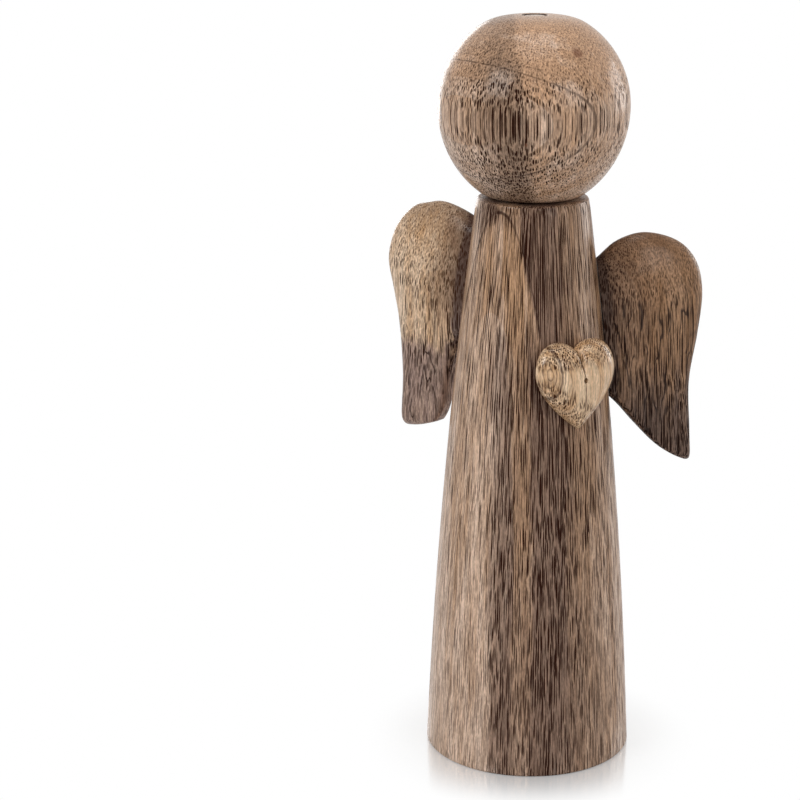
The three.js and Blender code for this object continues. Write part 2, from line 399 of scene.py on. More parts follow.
# a value that follows the given stops, each a place in mm and a level
def followStops(place, stops):
    low, high = stops[0][0], stops[-1][0]
    made = addNode("ValToRGB", {0: ramp(place, low, high, smooth=False)})
    made.color_ramp.interpolation = "EASE"
    elements = made.color_ramp.elements
    while len(elements) < len(stops):
        elements.new(0.5)  # each gets its place below
    for element, (mark, level) in zip(elements, stops):
        element.position = (mark - low) / (high - low)
        element.color = (level, level, level, 1.0)
    return made.outputs[0]


# the amount of pores, by the look's stops up the height
def poresByHeight(look):
    def pores(point):
        share = followStops(heightOf(point), look["poreStops"])
        return times(share, look["poreMost"])
    return pores


# lean tips the grain forwards or backwards, in degrees
def woodMaterial(name, look, masks=None, extra=None, lean=0.0):
    material = bpy.data.materials.new(name)
    freshTree(material)
    point = addNode("TexCoord").outputs["Object"]
    turned = addNode("Mapping", {"Vector": point, "Rotation": (math.radians(lean), 0, 0)}).outputs[0]
    wood = addNode("Group", {"Vector": turned}, node_tree=woodGroup)
    for key, value in look.items():
        feed(wood.inputs[key], hexColour(value) if isinstance(value, str) else value)
    for key, mask in (masks or {}).items():
        feed(wood.inputs[key], mask(point))
    colour, height = wood.outputs["Colour"], wood.outputs["Height"]
    if extra:
        colour, height = extra(point, colour, height)
    depth = woodFinish["bumpDepth"] * mm
    bump = addNode("Bump", {"Strength": woodFinish["bump"], "Distance": depth, "Height": height})
    shader = addNode("BsdfPrincipled", {
        "Base Color": colour, "Roughness": wood.outputs["Roughness"], "Normal": bump.outputs[0],
        "Coat Weight": wood.outputs["Polish"], "Coat Roughness": woodFinish["waxRoughness"],
        "Specular IOR Level": woodFinish["shine"]})
    addNode("OutputMaterial", {"Surface": shader.outputs[0]})
    return material


# meshes
def meshObject(name, mesh):
    data = bpy.data.meshes.new(name)
    mesh.to_mesh(data)
    mesh.free()
    return newObject(name, data)


def shadePiece(piece, sharpAngle):
    for polygon in piece.data.polygons:
        polygon.use_smooth = True
    piece.data.set_sharp_from_angle(angle=math.radians(sharpAngle))


def finishPiece(name, mesh, material, nodeName, sharpAngle):
    bmesh.ops.remove_doubles(mesh, verts=mesh.verts, dist=mergeDistance)
    bmesh.ops.recalc_face_normals(mesh, faces=mesh.faces)
    piece = meshObject(name, mesh)
    piece.data.materials.append(material)
    shadePiece(piece, sharpAngle)
    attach(piece, "root")
    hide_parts(nodeName)
    return piece


def spinProfile(points, steps):
    mesh = bmesh.new()
    row = [mesh.verts.new((radius * mm, 0, height * mm)) for radius, height in points]
    edges = [mesh.edges.new(pair) for pair in zip(row, row[1:])]
    bmesh.ops.spin(mesh, geom=row + edges, cent=(0, 0, 0), axis=(0, 0, 1), angle=math.tau, steps=steps,
                   use_merge=True)
    bmesh.ops.remove_doubles(mesh, verts=mesh.verts, dist=mergeDistance)
    return mesh


# takes the cutter's space out of a piece, then deletes the cutter
def cutAway(piece, cutterMesh, sharpAngle):
    bmesh.ops.recalc_face_normals(cutterMesh, faces=cutterMesh.faces)
    cutter = meshObject("cutter", cutterMesh)
    cut = piece.modifiers.new("cut", "BOOLEAN")
    cut.operation = "DIFFERENCE"
    cut.solver = "EXACT"
    cut.object = cutter
    graph = bpy.context.evaluated_depsgraph_get()
    result = bpy.data.meshes.new_from_object(piece.evaluated_get(graph))
    piece.modifiers.clear()
    piece.data = result
    bpy.data.objects.remove(cutter)
    shadePiece(piece, sharpAngle)


# from one angle in degrees to another
def arc(centreR, centreH, radius, fromAngle, toAngle, steps=4):
    angles = [math.radians(fromAngle + (toAngle - fromAngle) * i / steps) for i in range(steps + 1)]
    return [(centreR + radius * math.cos(a), centreH + radius * math.sin(a)) for a in angles]


# a pin with both ends chamfered and the upper one crowned
def pinProfile(radius, chamfer, low, high, crown=0.0):
    return [(0, low), (radius - chamfer, low), (radius, low + chamfer), (radius, high - chamfer),
            (radius - chamfer, high - crown), (0, high)]


# body
bodyLook = {
    "neckRadius": 14.75,
    "swell": 1.7,
    "edgeRound": 0.8,
    "trim": 0.005,        # keeps the foot inside the box of the CAD
    "socketRadius": 3.2,
    "socketDepth": 25.6,
    "rings": 70,
    "sides": 180,
    "sharpAngle": 35,
    "wood": {"Pale": "d4b8a3", "Warm": "b08a69", "Dark": "836857", "Pore": "2a1107",
             "PithX": 26.9, "PithY": 64.6, "RingWidth": 3.4, "RingLine": 0.1, "KeyRing": 85.0,
             "PoreGap": 0.6, "PoreRadius": 0.148, "Fibre": 1.6, "Wander": 0.35, "Gloss": 0.45, "Seed": 0.0},
    "poreFade": (10.0, 130.0, 1.0, 1.65),  # heights between which the pores grow, and their amounts
    "poreSides": [(-28, 0.85), (-14, 0.88), (-7, 1), (28, 1)],  # shares of the pores across the front
    "footDark": (85.0, 5.0, 0.0, 0.18),    # the foot is a little darker
    "warmFade": (15.0, 80.0, 0.5, 1.0),    # and the golden streak weaker there
    "figureLean": 0.06,   # the dark bands lean this much per mm of height
    "figureLevel": 90.0,  # from this height up
    "figureRagged": 5.0,
    "figureStops": [(-28, 0.05), (-12, 0.1), (-9, 0.6), (-5.2, 0.85), (-4.2, 0.45), (0.4, 0.5),
                    (1.4, 0.95), (8.5, 0.9), (10.5, 0.58), (17, 0.34), (28, 0.15)],
    "warmStops": [(-28, 0), (-5.2, 0), (-4.0, 0.5), (0.2, 0.5), (1.4, 0.2), (12, 0.4), (28, 0.4)],
    "archFade": (108.0, 128.0, 0.0, 0.85),
    "archEdge": 0.5,
    "archLight": 0.9,
    "poreTaper": (0.055, 0.025),  # how far the pores run out of the side per mm, at the foot and the neck
}
bodyLow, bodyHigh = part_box("body")
bodyHeight = bodyHigh.z / mm
baseRadius = (bodyHigh.y - bodyLow.y) / 2 / mm - bodyLook["trim"]


# a cone with a swell that is highest half way up
def bodyRadius(height):
    up = height / bodyHeight
    straight = baseRadius + (bodyLook["neckRadius"] - baseRadius) * up
    return straight + 4 * bodyLook["swell"] * up * (1 - up)


# the same in a shader, from the share of the height
def bodyRadiusAt(up):
    swell = 4 * bodyLook["swell"]
    slope = timesPlus(up, -swell, bodyLook["neckRadius"] - baseRadius + swell)
    return timesPlus(up, slope, baseRadius)


def bodySide(offset, look):
    rounding = look["edgeRound"]
    low = arc(bodyRadius(0) - rounding, rounding, rounding, -90, 0)
    high = arc(bodyRadius(bodyHeight) - rounding, bodyHeight - rounding, rounding, 0, 90)
    side = []
    for i in range(1, look["rings"]):
        height = rounding + (bodyHeight - 2 * rounding) * i / look["rings"]
        side.append((bodyRadius(height), height))
    return [(radius + offset, height) for radius, height in low + side + high]


# copes a piece to the body's side, with room for the glue; the cutter starts 1 mm under the floor
def copeToBody(piece, look):
    envelope = [(0, -1)] + bodySide(look["glueLine"], bodyLook) + [(0, bodyHeight)]
    cutAway(piece, spinProfile(envelope, bodyLook["sides"]), look["sharpAngle"])


def bodyPlace(point):
    look = bodyLook
    return figurePlace(point, cameraSetup["azimuth"], look["figureLean"], look["figureLevel"],
                       look["figureRagged"], 0.0)


# a golden streak runs down the middle
def bodyWarmth(point):
    warmth = followStops(bodyPlace(point), bodyLook["warmStops"])
    return times(warmth, heightRamp(point, *bodyLook["warmFade"]))


# the arch on the front is strong under the neck and fades lower down
def archMask(point):
    return heightRamp(point, *bodyLook["archFade"])


# inside the arch on the front the wood is lighter; outside it is light on the right wing's side,
# and dark on either side of the golden streak
def bodyShade(point):
    look = bodyLook
    shade = followStops(bodyPlace(point), look["figureStops"])
    pith = (look["wood"]["PithX"], look["wood"]["PithY"], 0.0)
    distance = vectorValue("DISTANCE", levelled(point), pith)
    edge = look["wood"]["KeyRing"]
    inArch = ramp(distance, edge, edge + look["archEdge"])
    inArch = times(inArch, archMask(point))
    shade = times(shade, timesPlus(inArch, -look["archLight"], 1.0))
    return sums("ADD", shade, heightRamp(point, *look["footDark"]))


def bodyPoreScale(point):
    foot, neck = bodyLook["poreTaper"]
    up = over(heightOf(point), bodyHeight)
    lost = timesPlus(up, (foot - neck) / 2 * bodyHeight, -foot * bodyHeight)
    kept = timesPlus(up, lost, baseRadius)
    return over(kept, bodyRadiusAt(up))


def bodyPores(point):
    amount = heightRamp(point, *bodyLook["poreFade"])
    return times(amount, followStops(bodyPlace(point), bodyLook["poreSides"]))


def makeBody(look):
    bottom = bodyHeight - look["socketDepth"]
    socket = look["socketRadius"]
    inside = [(socket, bodyHeight), (socket, bottom), (0, bottom)]
    mesh = spinProfile([(0, 0)] + bodySide(0, look) + inside, look["sides"])
    masks = {"Shade": bodyShade, "Warmth": bodyWarmth, "KeyLine": archMask, "PoreAmount": bodyPores,
             "PoreScale": bodyPoreScale}
    material = woodMaterial("bodyWood", look["wood"], masks)
    finishPiece("turned_body", mesh, material, "body", look["sharpAngle"])


makeBody(bodyLook)
print("body turned")

# head
headLook = {
    "seatRadius": 12.3,
    "topRadius": 8.5,
    "lowerHeight": 23.5,
    "seatBlend": 0.8,     # softens the edges of the two flats
    "topBlend": 2.5,
    "boreRadius": 3.2,
    "holeRound": 0.4,
    "rings": 60,
    "sides": 180,
    "sharpAngle": 50,
    "wood": {"Pale": "d6b9a3", "Warm": "be9777", "Dark": "91755f", "Pore": "2a1208",
             "PithX": 3.0, "PithY": 14.0, "RingWidth": 1.55, "RingLine": 0.22,
             "KeyRing": 25.8, "KeyLine": 0.65, "KeyWidth": 0.17, "PoreGap": 0.68, "PoreRadius": 0.19,
             "Upright": 0.35, "Fibre": 1.6, "Wander": 0.15, "Gloss": 0.5, "Seed": 60.0},
    "poreMost": 1.5,      # then heights and shares of it
    "poreStops": [(153, 0.85), (166, 1), (181, 1), (189, 0.62), (200, 0.5)],
    "warmFade": (178.0, 190.0, 0.0, 0.6),
    "lean": -3.2,
    "shadeFade": (197.0, 184.0, 0.65, 1.0),
    "figureLean": 0.12,
    "figureLevel": 178.0,
    "figureRagged": 4.0,
    "figureStops": [(-26, 0.2), (-17, 0.3), (-13, 0.6), (-7, 1), (-3.6, 0.85), (-0.8, 0.25), (8, 0.12),
                    (25, 0.12)],
    "knots": [((13.6, -14.1, 192.4), 2.2, 1.6), ((2.8, -24.0, 170.4), 0.7, 0.4)],  # place, radius, ragged
    "knotScale": (300, 300, 300),
    "knotCore": 0.2,
    "knotStrength": 0.7,
    "knotColour": "6b3f2a",
    # the bore's colour is painted shadow, laid on out to just past the rim
    "boreShadowColour": "3d2c22",
    "boreEdge": (0.3, 0.1),  # mm outside the bore
}
headLow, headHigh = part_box("head")


# a dark band runs down the head beside its middle, sharp on the heart's side
def headShade(point):
    look = headLook
    place = figurePlace(point, cameraSetup["azimuth"], look["figureLean"], look["figureLevel"],
                        look["figureRagged"])
    shade = followStops(place, look["figureStops"])
    return times(shade, heightRamp(point, *look["shadeFade"]))


def headWarmth(point):
    return heightRamp(point, *headLook["warmFade"])


# two knots, and painted shadow inside the bore: its wall and rounded rim are coloured dark
def headKnotsAndBoreShadow(point, colour, height):
    look = headLook
    for place, radius, ragged in look["knots"]:
        off = vectorValue("DISTANCE", point, Vector(place) * mm)
        off = timesPlus(streaks(point, look["knotScale"]), ragged * mm, off)
        mask = ramp(off, radius * mm, radius * look["knotCore"] * mm)
        mask = times(mask, look["knotStrength"])
        colour = mixColour(mask, colour, hexColour(look["knotColour"]))
    # painted shadow in the bore
    out = vectorValue("LENGTH", levelled(point))
    bore = ramp(out, *[look["boreRadius"] + beyond for beyond in look["boreEdge"]])
    return mixColour(bore, colour, hexColour(look["boreShadowColour"])), height


# the lower of two heights, rounded where they cross
def softLower(first, second, blend):
    near = max(blend - abs(first - second), 0) / blend
    return min(first, second) - near * near * blend / 4


def makeHead(look):
    bottom, top = headLow.z / mm, headHigh.z / mm
    radius = (headHigh.y - headLow.y) / 2 / mm
    middle = bottom + look["lowerHeight"]
    rounding = look["holeRound"]
    inner = look["boreRadius"] + rounding
    halves = []
    for flat, reach, blend in ((look["seatRadius"], middle - bottom, look["seatBlend"]),
                               (look["topRadius"], top - middle, look["topBlend"])):
        tall = reach / math.sqrt(1 - (flat / radius) ** 2)
        start = math.asin(inner / radius)
        angles = [start + (math.pi / 2 - start) * i / look["rings"] for i in range(look["rings"] + 1)]
        halves.append([(radius * math.sin(a), softLower(tall * math.cos(a), reach, blend)) for a in angles])
    points = [(r, middle - h) for r, h in halves[0]] + [(r, middle + h) for r, h in halves[1][-2::-1]]
    crown, foot = points[-1][1], points[0][1]
    points += arc(inner, crown - rounding, rounding, 90, 180)[1:]
    points += arc(inner, foot + rounding, rounding, 180, 270)
    mesh = spinProfile(points, look["sides"])
    masks = {"Shade": headShade, "PoreAmount": poresByHeight(look), "Warmth": headWarmth}
    material = woodMaterial("headWood", look["wood"], masks, headKnotsAndBoreShadow, look["lean"])
    finishPiece("ball_head", mesh, material, "head", look["sharpAngle"])


makeHead(headLook)
print("head turned")

# dowels: the neck dowel's end shows in the hole in the head
dowelLook = {
    "chamfer": 0.5,
    "crown": 0.05,
    "sunk": 0.35,         # below the top of the head
    "sides": 48,
    "sharpAngle": 30,
    "wood": {"Pale": "d9c8ba", "Warm": "bfa998", "Dark": "5d5048", "Pore": "4a3627",
             "PithX": 20.0, "PithY": 5.0, "RingWidth": 1.4, "RingLine": 0.35, "PoreGap": 0.45,
             "PoreRadius": 0.1, "PoreAmount": 0.5, "Fibre": 0.6, "Wander": 0.3, "Seed": 120.0},
}
dowelWood = woodMaterial("dowelWood", dowelLook["wood"])


def makeNeckDowel(look):
    low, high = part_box("neck_dowel")
    top = headHigh.z / mm - look["sunk"]
    points = pinProfile((high.x - low.x) / 2 / mm, look["chamfer"], low.z / mm, top, look["crown"])
    mesh = spinProfile(points, look["sides"])
    finishPiece("neck_dowel_pin", mesh, dowelWood, "neck_dowel", look["sharpAngle"])


makeNeckDowel(dowelLook)
for nodeName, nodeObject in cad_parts.items():
    if nodeName.endswith("_dowel") and nodeName != "neck_dowel":
        nodeObject.data.materials.clear()
        nodeObject.data.materials.append(dowelWood)
print("dowels made")

# wings: level sections bridged from the top of the lobe down to the tip, then coped to the body;
# points are reach from the axis and drop from the top of the body
wingLook = {
    "sweep": 24.0,
    "thick": 10.0,
    "tipThick": 5.5,
    "frontShare": 0.62,
    "tipRound": 4.0,
    "outerBox": 1.2,      # how much squarer the sections get towards the tip
    "innerBox": 3.5,
    "stations": 60,
    "endInset": 0.012,    # keeps the first and last section from shrinking to a point
    "lineSteps": 24,
    "sides": 80,
    "sharpAngle": 50,
    "glueLine": 0.25,
    "tipShades": (0.85, 0.05),   # at the tip and above it
    # the wood beside the body gets painted shade from the body, partly darker wood there too
    "rootShades": (0.0, 0.9),    # out from the body and beside it
    "hazeShades": (0.0, 0.4),
    "tipScale": (420, 420, 30),  # scales of noise per metre
    "rootScale": (420, 420, 60),
    "rootRagged": 6.0,
    "crackNoise": (2.0, 0.6),    # detail and roughness
    "crackEdge": (0.025, 0.008),
    "crackPatches": (150, 150, 90),
    "patchEdge": (0.45, 0.55),
    "crackFade": 6.0,
    "crackDark": 0.85,
    "crackDepth": 1.5,
}
leftWingLook = {
    "outer": [(30.6, 10.7), (39.5, 13.2), (44.9, 18.9), (46.9, 27.5), (45.9, 38.5), (43.8, 52),
              (44.3, 66), (44.5, 73.1), (43.5, 74.4)],
    "inner": [(30.6, 10.7), (23, 12.6), (17.7, 16.9), (12, 22), (11, 35), (12, 48), (17, 51.5),
              (22.9, 56.6), (28.1, 62.5), (33.8, 68.5), (38.7, 72), (43.5, 74.4)],
    "crown": 20.0,        # from the top edge down to full thickness
    "face": -1,           # which side of the sections is the front
    "lean": -6.0,
    "turn": wingLook["sweep"],
    "darkFrom": 118.0,    # heights between which the wood darkens
    "darkTo": 88.0,
    "darkRagged": 30.0,
    # painted shade beside the body, partly darker wood: mm out from the body for the dark and the softer
    # shade
    "rootShadow": (6.5, 0.5),   # mm out from the body, from plain wood to the darkest
    "rootShadeHaze": (20.0, 4.0),
    "rootShadowDeep": 0.35,
    "crackScale": (220, 220, 40),
    "crackFrom": 128.0,
    "wood": {"Pale": "ab876a", "Warm": "906b4c", "Dark": "6f594d", "Pore": "1f0d06",
             "PithX": 30.0, "PithY": 75.0, "RingWidth": 3.1, "RingLine": 0.2, "PoreGap": 0.55,
             "PoreRadius": 0.14, "Fibre": 1.7, "Wander": 0.5, "Gloss": 0.35, "Seed": 200.0},
    "poreMost": 1.5,      # then heights and shares of it
    "poreStops": [(78, 0.85), (92, 1), (116, 1), (140, 0.63)],
    # browner over the top and beside the body, and darkest right by it: painted shade, partly darker wood
    "topShadeBrown": (131.0, 143.0, 0.0, 0.35),
    "shadeBrownFrom": (104.0, 122.0),  # heights above which the colour beside the body goes browner with painted shade, partly darker wood
    "shadeBrownDeep": 0.3,
    "shadeBrown": "4a2f22",
}
rightWingLook = {
    "outer": [(29, 4.6), (34.5, 5.4), (39.6, 7.1), (45.4, 13.2), (48.0, 21.8), (46.3, 30), (43.5, 41.5),
              (42.4, 54), (43, 66.5), (41.6, 69.5)],
    "inner": [(29, 4.6), (21.5, 6.4), (15, 9.5), (11, 13), (11, 34), (21, 41), (25.4, 50), (27.6, 61),
              (29.6, 65.6), (30.9, 66.6), (35.9, 68.3), (41.6, 69.5)],
    "crown": 26.0,
    "face": 1,
    "lean": -11.0,
    "turn": 180 - wingLook["sweep"],
    "darkFrom": 113.0,
    "darkTo": 106.0,
    "darkRagged": 14.0,
    # painted shade beside the body, partly darker wood
    "rootShadow": (5.4, 3.2),
    "rootShadeHaze": (17.0, 5.0),
    "rootShadowDeep": 0.55,
    "crackScale": (260, 260, 60),
    "crackFrom": 114.0,
    "wood": {"Pale": "e4c8ac", "Warm": "c49c74", "Dark": "a0867a", "Pore": "2a1208",
             "PithX": -60.0, "PithY": -60.0, "RingWidth": 3.7, "RingLine": 0.18, "PoreGap": 0.7,
             "PoreRadius": 0.195, "Upright": 0.5, "Fibre": 1.7, "Wander": 0.6, "Gloss": 0.35, "Seed": 280.0},
    "poreMost": 1.4,
    "poreStops": [(82, 0.4), (98, 0.65), (110, 1), (118, 1), (144, 0.75)],
    # browner over the top and beside the body, and darkest right by it: painted shade, partly darker wood
    "topShadeBrown": (136.0, 149.0, 0.0, 0.45),
    "shadeBrownFrom": (112.0, 126.0),
    "shadeBrownDeep": 0.6,
    "shadeBrown": "54351f",
}


# a smooth line of points through a few given ones; lead is the point before the first, and a handle
# is a sixth of the way between a point's neighbours
def smoothLine(points, lead, steps):
    flat = [Vector((x, y, 0)) for x, y in [lead] + points + points[-1:]]
    line = []
    for before, start, end, after in zip(flat, flat[1:], flat[2:], flat[3:]):
        first = start + (end - before) / 6
        second = end - (after - start) / 6
        line += interpolate_bezier(start, first, second, end, steps)[:-1]
    return line + [flat[-1]]


def reachAt(line, drop):
    for first, second in zip(line, line[1:]):
        if first.y <= drop <= second.y and second.y > first.y:
            return first.x + (second.x - first.x) * (drop - first.y) / (second.y - first.y)
    return line[-1].x


# a rounded share from 0 at the edge to 1 where the full thickness is reached
def rounded(share):
    return math.sqrt(1 - (1 - min(max(share, 0), 1)) ** 2)


# a circle's point, moved out towards a square by a power above 2
def squarer(value, power):
    return math.copysign(abs(value) ** (2 / power), value)


# wings darken towards the tips, the right one quite suddenly, which is the wood itself, and towards the
# body, which is painted shade from the body, partly darker wood
def wingShade(look):
    def shade(point):
        edge = streaks(point, wingLook["tipScale"])
        lifted = timesPlus(edge, look["darkRagged"], heightOf(point))
        tip = ramp(lifted, look["darkTo"], look["darkFrom"], *wingLook["tipShades"])
        off = offBody(point)
        root = ramp(off, *look["rootShadow"], *wingLook["rootShades"])
        shadeHaze = ramp(off, *look["rootShadeHaze"], *wingLook["hazeShades"])
        return larger(tip, larger(root, shadeHaze))
    return shade


# how far a point of a wing lies from the body, in mm, with a ragged edge
def offBody(point):
    out = vectorValue("LENGTH", levelled(point))
    up = over(heightOf(point), bodyHeight)
    off = minus(out, bodyRadiusAt(up))
    return timesPlus(streaks(point, wingLook["rootScale"]), wingLook["rootRagged"], off)


# short wandering cracks in the darker wood; beside the body and over the top the colour goes browner, then
# nearly black right by the body, which is painted shade, partly darker wood
def wingCracks(look):
    def cracks(point, colour, height):
        wander = sums("ABSOLUTE", sway(point, look["crackScale"], *wingLook["crackNoise"]))
        line = ramp(wander, *wingLook["crackEdge"])
        patches = noise(point, wingLook["crackPatches"])["Fac"]
        some = ramp(patches, *wingLook["patchEdge"])
        below = heightRamp(point, look["crackFrom"], look["crackFrom"] - wingLook["crackFade"])
        mask = times(times(line, some), times(below, wingLook["crackDark"]))
        # painted shade from the body: browner beside it and over the top, then the pore colour right by it,
        # partly darker wood
        off = offBody(point)
        shadeBrown = ramp(off, *look["rootShadeHaze"], 0.0, look["shadeBrownDeep"])
        shadeBrown = times(shadeBrown, heightRamp(point, *look["shadeBrownFrom"]))
        shadeBrown = larger(shadeBrown, heightRamp(point, *look["topShadeBrown"]))
        colour = mixColour(shadeBrown, colour, hexColour(look["shadeBrown"]))
        root = ramp(off, *look["rootShadow"], 0.0, look["rootShadowDeep"])
        colour = mixColour(larger(mask, root), colour, hexColour(look["wood"]["Pore"]))
        return colour, timesPlus(mask, -wingLook["crackDepth"], height)
    return cracks


def makeWing(name, look, nodeName):
    outer = smoothLine(look["outer"], look["inner"][1], wingLook["lineSteps"])
    inner = smoothLine(look["inner"], look["outer"][1], wingLook["lineSteps"])
    top, tip = look["outer"][0][1], look["outer"][-1][1]
    full = top + look["crown"]
    front, back = wingLook["frontShare"], 1 - wingLook["frontShare"]
    inset = wingLook["endInset"]
    mesh = bmesh.new()
    loops = []
    for i in range(wingLook["stations"] + 1):
        even = inset + (1 - 2 * inset) * i / wingLook["stations"]
        drop = top + (tip - top) * (0.5 - 0.5 * math.cos(math.pi * even))  # closer towards the ends
        right, left = reachAt(outer, drop), reachAt(inner, drop)
        swell = rounded((drop - top) / look["crown"]) * rounded((tip - drop) / wingLook["tipRound"])
        fall = min(max((drop - full) / (tip - full), 0), 1)
        thick = (wingLook["thick"] + (wingLook["tipThick"] - wingLook["thick"]) * fall) * swell
        section = bmesh.ops.create_circle(mesh, segments=wingLook["sides"], radius=1.0)["verts"]
        for vert in section:
            x, y = vert.co.xy
            power = 2 + fall * (wingLook["outerBox"] if x > 0 else wingLook["innerBox"])
            depth = thick * (front if y * look["face"] > 0 else back)
            out = (left + right) / 2 + squarer(x, power) * (right - left) / 2
            vert.co = Vector((out, squarer(y, power) * depth, bodyHeight - drop)) * mm
        loops.append(list({edge for vert in section for edge in vert.link_edges}))
    for upper, lower in zip(loops, loops[1:]):
        bmesh.ops.bridge_loops(mesh, edges=upper + lower)
    bmesh.ops.holes_fill(mesh, edges=loops[0] + loops[-1], sides=0)
    turn = Matrix.Rotation(math.radians(look["turn"]), 3, "Z")
    bmesh.ops.rotate(mesh, verts=mesh.verts, cent=(0, 0, 0), matrix=turn)
    masks = {"Shade": wingShade(look), "PoreAmount": poresByHeight(look)}
    material = woodMaterial(name + "Wood", look["wood"], masks, wingCracks(look), look["lean"])
    wing = finishPiece(name, mesh, material, nodeName, wingLook["sharpAngle"])
    copeToBody(wing, wingLook)


makeWing("left_wing_carved", leftWingLook, "left_wing")
makeWing("right_wing_carved", rightWingLook, "right_wing")
print("wings carved")

# heart: places on it are in mm from its middle, across and up
heartLook = {
    "drop": 44.4,
    "azimuth": 43.5,
    "halfWidth": 11.8,
    "notch": 7.4,
    "lobe": 9.8,
    "widest": 2.4,
    "tip": 13.4,
    "lobeIn": (0.2, 1.0),      # handles of the outline: share of the half width, mm above the lobe
    "lobeOut": (0.95, 2.2),
    "sideTop": (1.0, 0.3),     # shares of the half width and of the tip
    "sideFoot": (0.35, 0.76),
    "edgeSteps": 40,
    "rows": 64,
    "columns": 128,
    "sharpAngle": 60,
    "front": 5.4,
    "back": 2.1,
    "seat": 0.9,
    "puff": 0.85,         # below 1 the face is flatter and the sides steeper
    "valley": 0.42,
    "valleyWidth": 0.6,
    "valleyFrom": 1.0,
    "valleyRun": 5.0,
    "holeRadius": 0.6,
    "holeStretch": 1.3,
    "holeDepth": 3.0,
    "holeSteps": 2,
    "glueLine": 0.25,
    "lobePores": (3.0, 5.2),   # where the pores set in
    "sidePores": (-3.5, -6.0),
    "sideSlope": 0.55,
    "endScale": (250, 250, 120),  # scales of noise per metre
    "endRagged": 5.0,
    "poreShares": (1.5, 0.15),    # more on the end grain, and everywhere
    "endWarmth": 0.25,
    "ovalPlace": (-9.6, 2.9),  # middle of the oval rings on one lobe
    "ovalTall": 2.4,
    "ovalGap": 0.8,
    "ovalScale": (350, 350, 200),
    "ovalRagged": 0.9,
    "ovalRise": (0.45, 0.85),
    "ovalFall": (0.85, 1.0, 1.0, 0.0),
    "ovalFade": (3.5, 7.5, 0.6, 0.12),
    "ovalReach": (3.0, 6.5, 1.0, 0.0),
    "ovalStrong": 2.9,    # one of the rings is darker
    "strongEdge": (0.5, 0.1, 0.0, 0.7),
    "crackTop": (7.5, 7.0),    # a fine crack runs down from the valley past the hole
    "crackFoot": (-9.0, -6.0),
    "crackEdge": (0.25, 0.08),
    "crackRagged": 1.1,
    "crackDark": 0.75,
    "wood": {"Pale": "e9cba9", "Warm": "c79d73", "Dark": "8a6a48", "Pore": "371808",
             "PithX": 4.3, "PithY": 37.4, "RingWidth": 0.85, "RingLine": 0.32, "PoreGap": 0.57,
             "PoreRadius": 0.19, "Upright": 0.6, "Fibre": 1.4, "Wander": 0.1, "Gloss": 0.8, "Seed": 400.0},
}


# half of the outline as angles from the top and reaches
def heartRadii(look):
    half, lobe, tip = look["halfWidth"], look["lobe"], look["tip"]
    marks = [(0, look["notch"])]
    marks += [(share * half, lobe + above) for share, above in (look["lobeIn"], look["lobeOut"])]
    marks += [(half, look["widest"])]
    marks += [(share * half, -down * tip) for share, down in (look["sideTop"], look["sideFoot"])]
    marks = [Vector((x, y, 0)) for x, y in marks + [(0, -tip)]]
    edge = interpolate_bezier(*marks[:4], look["edgeSteps"])
    edge += interpolate_bezier(*marks[3:], look["edgeSteps"])[1:]
    return [(math.atan2(p.x, p.y), p.length) for p in edge]


def heartEdge(radii, angle):
    angle = abs(angle)
    for (a, r), (b, s) in zip(radii, radii[1:]):
        if a <= angle <= b:
            return r + (s - r) * (angle - a) / (b - a)
    return radii[-1][1]


def heartPlace(look):
    height = bodyHeight - look["drop"]
    out = bodyRadius(height) + look["back"] - look["seat"]
    lean = math.atan(bodyRadius(height) - bodyRadius(height + 1))
    turn = Matrix.Rotation(math.radians(look["azimuth"]), 4, "Z")
    return turn @ Matrix.Translation((0, -out * mm, height * mm)) @ Matrix.Rotation(-lean, 4, "X")


def heartUp(point):
    return minus(heightOf(point), bodyHeight - heartLook["drop"])


# the lobes and the left side are end grain, and the middle of the face is smooth
def heartEnds(point):
    look = heartLook
    ragged = sway(point, look["endScale"])
    up = timesPlus(ragged, look["endRagged"], heartUp(point))
    lobes = ramp(up, *look["lobePores"])
    side = timesPlus(figurePlace(point, look["azimuth"]), look["sideSlope"], up)
    return larger(lobes, ramp(side, *look["sidePores"]))


def heartPores(point):
    return timesPlus(heartEnds(point), *heartLook["poreShares"])


def heartWarmth(point):
    return times(heartEnds(point), heartLook["endWarmth"])


# oval rings on one lobe, and a fine crack through the hole
def heartMarks(point, colour, height):
    look = heartLook
    dark = hexColour(look["wood"]["Pore"])
    across = figurePlace(point, look["azimuth"], ragged=look["crackRagged"])
    up = heartUp(point)
    aside = minus(across, look["ovalPlace"][0])
    above = minus(up, look["ovalPlace"][1])
    out = vectorValue("LENGTH", joined(aside, over(above, look["ovalTall"])))
    out = timesPlus(sway(point, look["ovalScale"]), look["ovalRagged"], out)
    phase = sums("FRACT", over(out, look["ovalGap"]))
    oval = times(ramp(phase, *look["ovalRise"]), ramp(phase, *look["ovalFall"]))
    oval = times(oval, ramp(out, *look["ovalFade"]))
    oval = times(oval, ramp(sums("ABSOLUTE", above), *look["ovalReach"]))
    fromStrong = sums("ABSOLUTE", minus(out, look["ovalStrong"]))
    strong = ramp(fromStrong, *look["strongEdge"])
    colour = mixColour(larger(oval, strong), colour, dark)
    line = ramp(sums("ABSOLUTE", across), *look["crackEdge"])
    within = times(ramp(up, *look["crackFoot"]), ramp(up, *look["crackTop"]))
    mask = times(times(line, within), look["crackDark"])
    return mixColour(mask, colour, dark), minus(height, mask)


